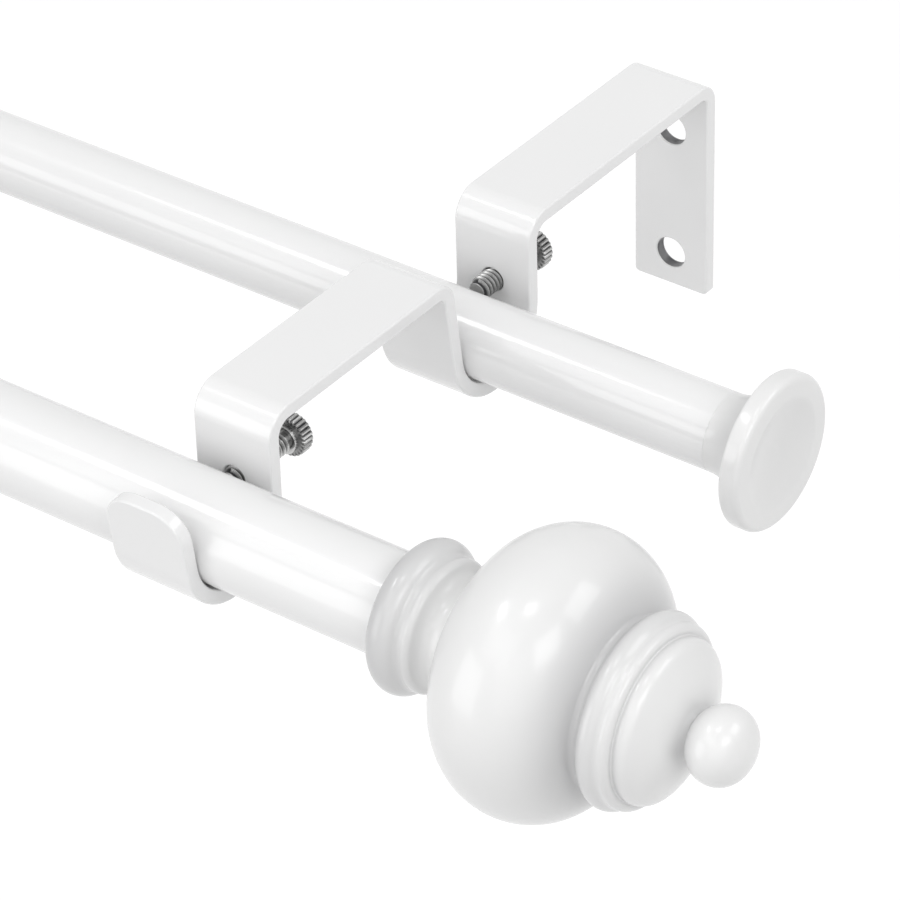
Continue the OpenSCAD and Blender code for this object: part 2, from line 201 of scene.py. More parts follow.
class Graph(Nodes):
    """A material's node tree, with the patterns and the shader that its finishes use."""

    def __init__(self, name: str) -> None:
        """Starts a material of that name with an empty tree and its output.

        Args:
            name: the material's name.
        """
        self.material = bpy.data.materials.new(name)
        self.material.use_nodes = True
        super().__init__(self.material.node_tree, "ShaderNodeOutputMaterial")

    def coordinates(self) -> bpy.types.NodeSocket:
        """Returns the Object coordinates, which stay with a piece when its body moves."""
        return self.add("ShaderNodeTexCoord").outputs["Object"]

    def attribute(self, name: str) -> bpy.types.NodeSocket:
        """Returns the number of that name that the mesh's points carry."""
        return self.add("ShaderNodeAttribute", attribute_name=name).outputs["Fac"]

    def noise(self, place: bpy.types.NodeSocket, scale: float, detail: float = 2.0,
              roughness: float = 0.5) -> bpy.types.NodeSocket:
        """Adds a noise pattern.

        Args:
            place: the coordinates that it reads.
            scale: how many times it repeats in a metre.
            detail: how many finer layers it has.
            roughness: how strong the finer layers are.

        Returns:
            The pattern's value, around one half.
        """
        node = self.add("ShaderNodeTexNoise", Scale=scale, Detail=detail, Roughness=roughness)
        self.join(place, node.inputs["Vector"])
        return node.outputs["Fac"]

    def blend(self, factor: bpy.types.NodeSocket, first: Colour | bpy.types.NodeSocket,
              second: Colour) -> bpy.types.NodeSocket:
        """Mixes two colours by a factor.

        Args:
            factor: 0 gives the first colour and 1 the second.
            first: a colour, or the socket that gives it.
            second: a colour.

        Returns:
            The mixed colour.
        """
        node = self.add("ShaderNodeMix", data_type="RGBA")
        self.join(factor, node.inputs[0])
        targets = [socket for socket in node.inputs if socket.type == "RGBA"]
        for target, colour in zip(targets, (first, second)):
            self.feed(target, (*colour, 1.0) if isinstance(colour, tuple) else colour)
        return next(socket for socket in node.outputs if socket.type == "RGBA")

    def bump(self, height: bpy.types.NodeSocket, depth: float, strength: float = 1.0,
             under: bpy.types.NodeSocket | None = None) -> bpy.types.NodeSocket:
        """Adds relief to the surface's normal.

        Args:
            height: the relief, from 0 to 1.
            depth: its full height in metres.
            strength: how much of it is used.
            under: the normal of a coarser relief below it.

        Returns:
            The new normal.
        """
        node = self.add("ShaderNodeBump", Distance=depth, Strength=strength)
        self.join(height, node.inputs["Height"])
        if under is not None:
            self.join(under, node.inputs["Normal"])
        return node.outputs["Normal"]

    def finish(self, shader: bpy.types.Node) -> bpy.types.Material:
        """Ends the tree in a shader and returns the material."""
        self.join(shader.outputs[0], self.output.inputs["Surface"])
        return self.material

    def surface(self, colour: bpy.types.NodeSocket, roughness: bpy.types.NodeSocket,
                normal: bpy.types.NodeSocket, **values: float) -> bpy.types.Material:
        """Ends the tree in the shader of a solid surface.

        Args:
            colour: the base colour.
            roughness: the roughness.
            normal: the normal, which a clear coat shares.
            **values: the shader's other values, by name with _ for spaces.

        Returns:
            The material.
        """
        shader = self.add("ShaderNodeBsdfPrincipled", **values)
        self.join(colour, shader.inputs["Base Color"])
        self.join(roughness, shader.inputs["Roughness"])
        self.join(normal, shader.inputs["Normal"])
        if "Coat_Weight" in values:
            self.join(normal, shader.inputs["Coat Normal"])
        return self.finish(shader)


# ----------------------------------------------------------------------------- finishes


@dataclass(frozen=True)
class Lacquer:
    """Glossy finish: a fine skin over shallow waves, with a faint drift in its tone."""

    name: str
    colour: Colour
    shade: Colour
    roughness: Span
    coat: float
    coat_roughness: float
    skin_per_metre: float
    skin_depth: float
    wave_per_metre: float
    wave_depth: float
    drift_per_metre: float
    drift_detail: float
    skin_harshness: float = 0.4
    ior: float = 1.45

    def _tone(self, graph: Graph, drift: bpy.types.NodeSocket) -> bpy.types.NodeSocket:
        """Returns the base colour, which follows the drift."""
        return graph.blend(graph.spread(drift, GENTLE), self.colour, self.shade)

    def material(self) -> bpy.types.Material:
        """Builds the finish's material.

        Returns:
            The material.
        """
        graph = Graph(self.name)
        place = graph.coordinates()
        wave = graph.noise(place, self.wave_per_metre, detail=1.0)
        skin = graph.noise(place, self.skin_per_metre, roughness=self.skin_harshness)
        drift = graph.noise(place, self.drift_per_metre, detail=self.drift_detail)
        coarse = graph.bump(wave, self.wave_depth)
        return graph.surface(self._tone(graph, drift),
                             graph.spread(drift, GENTLE, self.roughness),
                             graph.bump(skin, self.skin_depth, under=coarse),
                             IOR=self.ior, Coat_Weight=self.coat,
                             Coat_Roughness=self.coat_roughness)


@dataclass(frozen=True)
class GlossPaint(Lacquer):
    """Sprayed and baked white paint: even, glossy, with a faint orange-peel skin."""

    colour: Colour = (0.79, 0.79, 0.79)
    shade: Colour = (0.775, 0.775, 0.777)
    roughness: Span = (0.21, 0.265)
    coat: float = 0.6
    coat_roughness: float = 0.07
    skin_per_metre: float = 620.0
    skin_depth: float = 0.006 * MM
    wave_per_metre: float = 90.0
    wave_depth: float = 0.02 * MM
    drift_per_metre: float = 30.0
    drift_detail: float = 3.0


@dataclass(frozen=True)
class ResinEnamel(Lacquer):
    """Glossy white enamel on cast resin, with painted shade: greyer where its hollow attribute
    is high.
    """

    colour: Colour = (0.765, 0.765, 0.763)
    shade: Colour = (0.735, 0.735, 0.734)
    roughness: Span = (0.285, 0.35)
    coat: float = 0.5
    coat_roughness: float = 0.11
    skin_per_metre: float = 420.0
    skin_depth: float = 0.0025 * MM
    wave_per_metre: float = 45.0
    wave_depth: float = 0.03 * MM
    drift_per_metre: float = 45.0
    drift_detail: float = 4.0
    # Grey of the shade painted into the hollows
    settled: Colour = (0.48, 0.48, 0.485)

    def _tone(self, graph: Graph, drift: bpy.types.NodeSocket) -> bpy.types.NodeSocket:
        """Returns the base colour, with the shade painted into the hollows as grey."""
        return graph.blend(graph.attribute("hollow"), super()._tone(graph, drift),
                           self.settled)


@dataclass(frozen=True)
class PlatedMetal:
    """Plated or bare turned metal, with painted shade: darker and duller where its crest
    attribute is low.
    """

    name: str
    crest_colour: Colour = (0.54, 0.54, 0.535)
    # Near black of the shade painted into thread roots and grooves
    root_colour: Colour = (0.04, 0.04, 0.042)
    root_to_crest_roughness: Span = (0.5, 0.1)
    scratch_roughness: float = 0.12
    scratch_per_metre: float = 2400.0
    scratch_harshness: float = 0.6
    scratch_depth: float = 0.01 * MM
    scratch_strength: float = 0.6

    def material(self) -> bpy.types.Material:
        """Builds the metal's material.

        Returns:
            The material.
        """
        graph = Graph(self.name)
        crest = graph.attribute("crest")
        scratch = graph.noise(graph.coordinates(), self.scratch_per_metre, detail=4.0,
                              roughness=self.scratch_harshness)
        polish = graph.spread(crest, (0.0, 1.0), self.root_to_crest_roughness)
        return graph.surface(
            # Painted shade: the colour darkens from crest to root
            graph.blend(crest, self.root_colour, self.crest_colour),
            graph.reckon("MULTIPLY_ADD", scratch, self.scratch_roughness, polish),
            graph.bump(scratch, self.scratch_depth, self.scratch_strength), Metallic=1.0)


@dataclass(frozen=True)
class Grained:
    """Unpainted surface with a fine grain and coarser clouds in its colour."""

    name: str
    colour: Colour
    shade: Colour
    roughness: Span
    grain_per_metre: float
    grain_depth: float
    cloud_per_metre: float
    cloud_bounds: Span = CLEAR
    grain_strength: float = 0.6
    stretch: float = 1.0
    metallic: float = 0.0

    def material(self) -> bpy.types.Material:
        """Builds the finish's material.

        Returns:
            The material.
        """
        graph = Graph(self.name)
        place = graph.coordinates()
        drawn = graph.add("ShaderNodeMapping", Scale=(1.0 / self.stretch, 1.0, 1.0))
        graph.join(place, drawn.inputs["Vector"])
        grain = graph.noise(drawn.outputs["Vector"], self.grain_per_metre, detail=3.0)
        cloud = graph.noise(place, self.cloud_per_metre)
        return graph.surface(
            graph.blend(graph.spread(cloud, self.cloud_bounds), self.colour, self.shade),
            graph.spread(grain, CLEAR, self.roughness),
            graph.bump(grain, self.grain_depth, self.grain_strength),
            Metallic=self.metallic)


@dataclass(frozen=True)
class BareSteel(Grained):
    """Drawn steel with fine lines along X, a little cloudy."""

    colour: Colour = (0.56, 0.56, 0.57)
    shade: Colour = (0.42, 0.42, 0.43)
    roughness: Span = (0.3, 0.42)
    grain_per_metre: float = 2600.0
    grain_depth: float = 0.01 * MM
    cloud_per_metre: float = 65.0
    stretch: float = 40.0
    metallic: float = 1.0


@dataclass(frozen=True)
class MouldedPlastic(Grained):
    """Natural nylon with a fine moulded grain."""

    colour: Colour = (0.8, 0.79, 0.76)
    shade: Colour = (0.74, 0.73, 0.7)
    roughness: Span = (0.4, 0.5)
    grain_per_metre: float = 1500.0
    grain_depth: float = 0.02 * MM
    cloud_per_metre: float = 125.0
    grain_strength: float = 0.5


@dataclass(frozen=True)
class PunchedEdge(Grained):
    """Dark grey, grainy walls inside a punched hole."""

    colour: Colour = (0.2, 0.2, 0.205)
    shade: Colour = (0.07, 0.07, 0.075)
    roughness: Span = (0.35, 0.55)
    grain_per_metre: float = 1100.0
    grain_depth: float = 0.03 * MM
    cloud_per_metre: float = 220.0
    cloud_bounds: Span = STRONG


@dataclass
class Finishes:
    """The set of materials, each built once."""

    paint: bpy.types.Material = field(
        default_factory=lambda: GlossPaint("gloss_white_paint").material())
    enamel: bpy.types.Material = field(
        default_factory=lambda: ResinEnamel("gloss_white_enamel").material())
    nickel: bpy.types.Material = field(
        default_factory=lambda: PlatedMetal("dark_nickel").material())
    steel: bpy.types.Material = field(
        default_factory=lambda: BareSteel("bare_steel").material())
    punched: bpy.types.Material = field(
        default_factory=lambda: PunchedEdge("punched_edge").material())
    nylon: bpy.types.Material = field(
        default_factory=lambda: MouldedPlastic("natural_nylon").material())


# ------------------------------------------------------------------------- mesh helpers


@dataclass
class Piece:
    """A mesh in the making, which ends as one object on one body."""

    name: str
    bm: bmesh.types.BMesh = field(default_factory=bmesh.new)

    def transform(self, matrix: Matrix) -> None:
        """Moves, turns or mirrors the whole mesh.

        Args:
            matrix: the transform. Faces point outwards again after a mirror.
        """
        bmesh.ops.transform(self.bm, matrix=matrix, verts=self.bm.verts)
        if matrix.determinant() < 0:
            bmesh.ops.reverse_faces(self.bm, faces=self.bm.faces)

    def section(self, points: list[tuple[float, float]],
                closed: bool = False) -> tuple[list[bmesh.types.BMVert],
                                               list[bmesh.types.BMEdge]]:
        """Draws a section above the X axis.

        Args:
            points: its points, as (x, distance from the axis).
            closed: whether it goes on from the last point to the first.

        Returns:
            The points and the edges.
        """
        verts = [self.bm.verts.new((x, 0.0, max(radius, 0.0))) for x, radius in points]
        following = verts[1:] + verts[:1] if closed else verts[1:]
        return verts, [self.bm.edges.new(pair) for pair in zip(verts, following)]

    def turn(self, points: list[tuple[float, float]], steps: int) -> None:
        """Turns a section all the way round the X axis.

        Args:
            points: its points, as (x, distance from the axis).
            steps: how many faces go round.
        """
        verts, edges = self.section(points)
        bmesh.ops.spin(self.bm, geom=verts + edges, cent=(0, 0, 0), axis=(1, 0, 0),
                       angle=math.tau, steps=steps, use_merge=True)

    def close(self) -> None:
        """Merges doubled points and makes every face point outwards."""
        bmesh.ops.remove_doubles(self.bm, verts=self.bm.verts, dist=HAIR / 20)
        bmesh.ops.recalc_face_normals(self.bm, faces=self.bm.faces)

    def to_object(self, materials: list[bpy.types.Material],
                  sharp_angle: float = 35.0) -> bpy.types.Object:
        """Makes the scene object, shaded smooth except across sharp edges.

        Args:
            materials: the materials, in the order of the faces' material numbers.
            sharp_angle: the angle in degrees from which an edge stays sharp.

        Returns:
            The object, at the origin and unturned.
        """
        mesh = bpy.data.meshes.new(self.name)
        self.bm.to_mesh(mesh)
        self.bm.free()
        for material in materials:
            mesh.materials.append(material)
        mesh.shade_smooth()
        mesh.set_sharp_from_angle(angle=math.radians(sharp_angle))
        piece = bpy.data.objects.new(self.name, mesh)
        bpy.context.scene.collection.objects.link(piece)
        return piece


def place_on(piece: bpy.types.Object, node: str, body: str) -> None:
    """Puts a finished piece in the frame in the place of its construction node.

    Args:
        piece: the finished object.
        node: the node that it stands for.
        body: the body that carries it.
    """
    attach(piece, body)
    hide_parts(node)
    LOG.info("%s: %d faces on body %s", piece.name, len(piece.data.polygons), body)


def body_of(node: str) -> str:
    """Returns the body that carries a node."""
    bodies = frame["record"]["behaviour"]["bodies"]
    return next(body for body, nodes in bodies.items() if node in nodes)


def off_axis(place: Vector) -> float:
    """Returns how far a place lies from the X axis."""
    return math.hypot(place.y, place.z)


def middle(node: str) -> Vector:
    """Returns the middle of a node's box."""
    low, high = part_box(node)
    return (low + high) / 2


def outward(azimuth: float, elevation: float) -> Vector:
    """Returns the direction from the object to a place round it.

    Args:
        azimuth: the place's angle in degrees from the room's side towards +X.
        elevation: its angle in degrees above the level.

    Returns:
        The direction, of length 1.
    """
    turn, rise = math.radians(azimuth), math.radians(elevation)
    return Vector((math.sin(turn) * math.cos(rise), -math.cos(turn) * math.cos(rise),
                   math.sin(rise)))


def crossing(first: Vector, first_radius: float, second: Vector, second_radius: float,
             outer: bool = True) -> Vector:
    """Finds where two circles of a turned outline cross.

    Args:
        first: the first circle's centre, as (x, distance from the axis).
        first_radius: its radius.
        second: the second circle's centre.
        second_radius: its radius.
        outer: take the crossing further from the axis, and otherwise the nearer one.

    Returns:
        The crossing.
    """
    line = second - first
    along = (first_radius ** 2 - second_radius ** 2 + line.length_squared) / (2 * line.length)
    off = math.sqrt(first_radius ** 2 - along ** 2)
    way = line.normalized()
    both = [first + way * along + Vector((-way.y, way.x)) * off * side for side in (1, -1)]
    return (max if outer else min)(both, key=lambda point: point.y)


@dataclass(frozen=True)
class Moulding:
    """A round of a turned outline, and the hollow that leads on from it.

    The centre is (x, distance from the axis). A hollow of 0 means that this round and the
    next one blend, one inside the other.
    """

    centre: tuple[float, float]
    size: float
    hollow: float = 0.0


@dataclass(frozen=True)
class Hollow:
    """A place of a turned outline where shade is painted into the enamel as grey, by its depth
    from 0 to 1.
    """

    x: float
    radius: float
    reach: float
    depth: float


def mark_hollows(piece: Piece, hollows: tuple[Hollow, ...]) -> None:
    """Writes how much painted shade each point of a turned piece takes from its hollows.

    Args:
        piece: the piece, still with its axis on X.
        hollows: the places of painted shade.
    """
    # The hollow attribute holds painted shade, which greys the enamel where it is high
    layer = piece.bm.verts.layers.float.new("hollow")
    for vert in piece.bm.verts:
        radius = off_axis(vert.co)
        vert[layer] = max((hollow.depth * math.exp(
            -((vert.co.x - hollow.x) ** 2 + (radius - hollow.radius) ** 2) / hollow.reach ** 2)
            for hollow in hollows), default=0.0)


class TurnedOutline:
    """Half outline of a turned piece, walked from point to point as (x, radius)."""

    def __init__(self, x: float, radius: float) -> None:
        """Starts the outline at a point."""
        self.points: list[tuple[float, float]] = [(x, radius)]

    def line(self, x: float, radius: float) -> "TurnedOutline":
        """Goes straight to a point and returns the outline."""
        self.points.append((x, radius))
        return self

    def about(self, centre: tuple[float, float], x: float, radius: float,
              step: float = 7.0, longest: float = 1.2 * MM) -> "TurnedOutline":
        """Goes to a point the shorter way round a centre.

        Args:
            centre: the arc's centre, as (x, distance from the axis).
            x: the end point's place along the axis.
            radius: the end point's distance from the axis.
            step: the largest angle in degrees that one straight bit covers.
            longest: the longest straight bit.

        Returns:
            The outline.
        """
        hub = Vector(centre)
        start, end = Vector(self.points[-1]) - hub, Vector((x, radius)) - hub
        turn = start.angle_signed(end)
        count = math.ceil(max(2, math.degrees(abs(turn)) / step,
                              abs(turn) * start.length / longest))
        for number in range(1, count):
            spoke = start.copy()
            spoke.rotate(Matrix.Rotation(-turn * number / count, 2))
            self.points.append(tuple(hub + spoke))
        self.points.append((x, radius))
        return self

    def follow(self, mouldings: list[Moulding]) -> "TurnedOutline":
        """Goes along a row of rounds up to the place where the last one begins.

        Args:
            mouldings: the rounds, in order. The outline already stands on the first one.

        Returns:
            The outline.
        """
        for this, following in zip(mouldings, mouldings[1:]):
            here, there = Vector(this.centre), Vector(following.centre)
            if this.hollow:
                hub = crossing(here, this.size + this.hollow, there,
                               following.size + this.hollow)
                leave = here + (hub - here).normalized() * this.size
                arrive = there + (hub - there).normalized() * following.size
                self.about(this.centre, *leave).about(tuple(hub), *arrive)
            else:
                wide, narrow = (this, following) if this.size > following.size else (
                    following, this)
                way = (Vector(narrow.centre) - Vector(wide.centre)).normalized()
                self.about(this.centre, *(Vector(wide.centre) + way * wide.size))
        return self

    def spin(self, name: str, steps: int = 128) -> Piece:
        """Spins the outline into a closed piece about the X axis.

        Args:
            name: the piece's name.
            steps: how many faces go round it.

        Returns:
            The piece, with its axis on X.
        """
        piece = Piece(name)
        piece.turn(self.points, steps)
        piece.close()
        return piece


@dataclass(frozen=True)
class Oval:
    """A squashed ball on the axis: two flat-sided arcs and a crown arc between them."""

    x: float
    radius: float
    half_length: float
    crown: float

    @property
    def side(self) -> float:
        """Works out the flat-sided arcs, which run smoothly into the crown.

        Returns:
            Their radius.
        """
        inner = self.radius - self.crown
        return ((inner ** 2 + self.half_length ** 2 - self.crown ** 2)
                / (2 * (self.half_length - self.crown)))

    def rounds(self, hollow: float = 0.0) -> list[Moulding]:
        """Returns the near side, the crown and the far side as rounds.

        Args:
            hollow: the radius of the hollow after the far side.

        Returns:
            The three rounds.
        """
        off = self.side - self.half_length
        return [Moulding((self.x + off, 0.0), self.side),
                Moulding((self.x, self.radius - self.crown), self.crown),
                Moulding((self.x - off, 0.0), self.side, hollow)]


# ------------------------------------------------------------------------ strap brackets


class StrapBender:
    """Feeds a flat strip forward and bends it, as a press brake does, in the YZ plane."""

    def __init__(self, piece: Piece, width: float, thickness: float, start: Vector) -> None:
        """Starts the strip with its end face looking up.

        Args:
            piece: the piece that takes the mesh.
            width: the strip's width, along X.
            thickness: the strip's thickness.
            start: the middle of its first end.
        """
        self.bm = piece.bm
        self.thickness = thickness
        self.point = start.copy()
        self.heading = Vector((0, 0, 1))
        grid = bmesh.ops.create_grid(self.bm, x_segments=1, y_segments=1, size=0.5)
        bmesh.ops.scale(self.bm, vec=(width, thickness, 1), verts=grid["verts"])
        bmesh.ops.translate(self.bm, vec=start, verts=grid["verts"])
        self.start = grid["verts"][0].link_faces[0]
        self.end = self.start

    def _sweep(self, centre: Vector, angle: float, travel: Vector, steps: int) -> None:
        """Carries the end face along and leaves the strip's walls behind it.

        Args:
            centre: the point that it turns about.
            angle: the whole turn in radians.
            travel: the way that each step goes.
            steps: how many steps it takes.
        """
        geometry = [self.end, *self.end.edges, *self.end.verts]
        swept = bmesh.ops.spin(self.bm, geom=geometry, cent=centre, axis=(1, 0, 0),
                               dvec=travel, angle=angle, steps=steps, use_merge=False)
        self.end = next(part for part in swept["geom_last"]
                        if isinstance(part, bmesh.types.BMFace))

    def run(self, length: float) -> None:
        """Feeds the strip straight ahead.

        Args:
            length: how far.
        """
        travel = self.heading * length
        self._sweep(self.point, 0.0, travel, 1)
        self.point = self.point + travel

    def bend(self, degrees: float, inner_radius: float, step: float = 5.0) -> None:
        """Bends the strip.

        Args:
            degrees: the turn, above 0 towards the room over the top of an arm.
            inner_radius: the radius of the bend's inside.
            step: the largest angle in degrees that one face covers.
        """
        side = 1.0 if degrees > 0 else -1.0
        across = Matrix.Rotation(math.radians(90), 3, "X") @ self.heading
        centre = self.point + across * side * (inner_radius + self.thickness / 2)
        angle = math.radians(degrees)
        self._sweep(centre, angle, Vector((0, 0, 0)), math.ceil(abs(degrees) / step))
        turn = Matrix.Rotation(angle, 3, "X")
        self.point = centre + turn @ (self.point - centre)
        self.heading = turn @ self.heading

    def round_corners(self, end: bmesh.types.BMFace, radius: float, segments: int) -> None:
        """Rounds the two corners of one end of the strip.

        Args:
            end: the end's face, start or end.
            radius: the corners' radius.
            segments: how many faces each corner has.
        """
        corners = [edge for edge in end.edges
                   if abs((edge.verts[0].co - edge.verts[1].co).x) < self.thickness / 10]
        bmesh.ops.bevel(self.bm, geom=corners, offset=radius, segments=segments, profile=0.5,
                        affect="EDGES", material=-1)


@dataclass
class StrapBracket:
    """One steel strip bent into a wall plate, two arms and two open hooks."""

    side: Side
    width: float = 18 * MM
    thickness: float = 3 * MM
    rear_leg_out: float = 65.5 * MM
    front_leg_out: float = 147 * MM
    tight_bend: float = 5 * MM
    leg_bend: float = 6 * MM
    hook_radius: float = 11 * MM
    hook_drop: float = 19 * MM
    lean_degrees: float = 8.0
    lip_drop: float = 7.5 * MM
    tab_corner: float = 6.5 * MM
    foot_corner: float = 1 * MM
    wall_hole: float = 7 * MM
    wall_hole_pitch: float = 30 * MM
    wall_hole_edge: float = 7.5 * MM
    tapped_hole: float = 4.96 * MM
    screw_drop: float = 16.5 * MM
    edge_round: float = 0.45 * MM
    edge_from_degrees: float = 40.0
    hole_lip: float = 0.4 * MM
    # A drill bit's lips end this far off the strap's faces, so that the two never coincide
    lip_clear: float = 0.008 * MM
    drill_run_out: float = 1 * MM
    burr: float = 0.003 * MM
    shaded_sharp_degrees: float = 50.0
    name: str = field(init=False)

    def __post_init__(self) -> None:
        """Takes the bracket's place from the frame."""
        self.name = f"bracket_{self.side.word}"
        self.low, self.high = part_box(self.name)
        self.middle_x = (self.low.x + self.high.x) / 2
        self.arm_top = self.high.z

    def _bend_strip(self, piece: Piece) -> None:
        """Bends the strip from the foot of the wall plate to the front lip.

        Args:
            piece: the piece that takes the strip.
        """
        lean = math.radians(self.lean_degrees)
        tight_inner = self.tight_bend - self.thickness
        leg_inner = self.leg_bend - self.thickness
        hook_z = self.arm_top - self.hook_drop
        outer = self.hook_radius + self.thickness
        start = Vector((self.middle_x, -self.thickness / 2, self.low.z))
        strip = StrapBender(piece, self.width, self.thickness, start)
        leg_run = self.hook_drop - self.leg_bend
        riser_face = outer + tight_inner
        riser_rise = self.arm_top - self.tight_bend - hook_z
        riser_run = (riser_rise + riser_face * math.sin(lean)) / math.cos(lean)
        rear_hook_y = -self.rear_leg_out - self.hook_radius
        riser_bend_y = rear_hook_y - riser_face * math.cos(lean) - riser_run * math.sin(lean)
        lip_rise = self.arm_top - self.lip_drop - hook_z
        lip_run = (lip_rise + outer * math.sin(lean)) / math.cos(lean)

        strip.run(self.arm_top - self.tight_bend - self.low.z)
        strip.bend(90, tight_inner)
        strip.run(self.rear_leg_out - self.tight_bend - self.leg_bend)
        strip.bend(90, leg_inner)
        strip.run(leg_run)
        strip.bend(self.lean_degrees - 180, self.hook_radius)
        strip.run(riser_run)
        strip.bend(90 - self.lean_degrees, tight_inner)
        strip.run(riser_bend_y + self.front_leg_out - self.leg_bend)
        strip.bend(90, leg_inner)
        strip.run(leg_run)
        strip.bend(self.lean_degrees - 180, self.hook_radius)
        strip.run(lip_run)
        strip.round_corners(strip.end, self.tab_corner, segments=16)
        strip.round_corners(strip.start, self.foot_corner, segments=4)

    def _round_edges(self, piece: Piece) -> None:
        """Rounds every sharp edge of the bent strip.

        Args:
            piece: the strip's piece.
        """
        least = math.radians(self.edge_from_degrees)
        sharp = [edge for edge in piece.bm.edges
                 if edge.is_manifold and edge.calc_face_angle() > least]
        bmesh.ops.bevel(piece.bm, geom=sharp, offset=self.edge_round, segments=3, profile=0.5,
                        affect="EDGES", material=-1)

    def _drill_bit(self, diameter: float, back_y: float, z: float) -> Piece:
        """Makes the body that cuts one hole and rolls its lips over.

        Args:
            diameter: the hole's diameter.
            back_y: where the plate's back face stands.
            z: the hole's height.

        Returns:
            The body, with the lips' faces on material 0 and the wall's on material 1.
        """
        radius, lip, thick = diameter / 2, self.hole_lip, self.thickness
        front, back = -self.lip_clear, thick + self.lip_clear
        start, end = -self.drill_run_out, thick + self.drill_run_out
        outline = (TurnedOutline(start, 0).line(start, radius + lip).line(front, radius + lip)
                   .about((front + lip, radius + lip), front + lip, radius, step=20)
                   .line(back - lip, radius)
                   .about((back - lip, radius + lip), back, radius + lip, step=20)
                   .line(end, radius + lip).line(end, 0))
        bit = outline.spin("drill_bit", steps=64)
        for face in bit.bm.faces:
            along = face.calc_center_median().x
            face.material_index = int(lip < along < thick - lip)
        bit.transform(Matrix.Translation((self.middle_x, back_y, z))
                      @ Matrix.Rotation(math.radians(-90), 4, "Z"))
        return bit

    def _drill(self, bracket: bpy.types.Object, finishes: Finishes) -> None:
        """Cuts the two wall holes and the two tapped holes, and takes off the burrs.

        Args:
            bracket: the bent strip.
            finishes: the materials.
        """
        lower_z = self.low.z + self.wall_hole_edge
        screw_z = self.arm_top - self.screw_drop
        holes = [(self.wall_hole, 0.0, lower_z),
                 (self.wall_hole, 0.0, lower_z + self.wall_hole_pitch),
                 (self.tapped_hole, -self.rear_leg_out + self.thickness, screw_z),
                 (self.tapped_hole, -self.front_leg_out + self.thickness, screw_z)]
        bits = [self._drill_bit(*hole).to_object([finishes.paint, finishes.punched])
                for hole in holes]
        for bit in bits:
            cut = bracket.modifiers.new("hole", "BOOLEAN")
            cut.operation = "DIFFERENCE"
            cut.solver = "EXACT"
            cut.material_mode = "TRANSFER"
            cut.object = bit
        graph = bpy.context.evaluated_depsgraph_get()
        drilled = bpy.data.meshes.new_from_object(bracket.evaluated_get(graph))
        burred = bmesh.new()
        burred.from_mesh(drilled)
        bmesh.ops.remove_doubles(burred, verts=burred.verts, dist=self.burr)
        bmesh.ops.dissolve_degenerate(burred, edges=burred.edges, dist=self.burr)
        burred.to_mesh(drilled)
        burred.free()
        bracket.modifiers.clear()
        bracket.data = drilled
        for bit in bits:
            bpy.data.objects.remove(bit)

    def build(self, finishes: Finishes) -> bpy.types.Object:
        """Bends, rounds, drills and paints the bracket.

        Args:
            finishes: the materials.

        Returns:
            The finished object.
        """
        piece = Piece(f"painted_{self.name}")
        self._bend_strip(piece)
        piece.close()
        self._round_edges(piece)
        bracket = piece.to_object([finishes.paint])
        self._drill(bracket, finishes)
        bracket.data.set_sharp_from_angle(angle=math.radians(self.shaded_sharp_degrees))
        flats = bracket.modifiers.new("even_flats", "WEIGHTED_NORMAL")
        flats.keep_sharp = True
        place_on(bracket, self.name, body_of(self.name))
        return bracket


# ------------------------------------------------------------------------- thumb screws


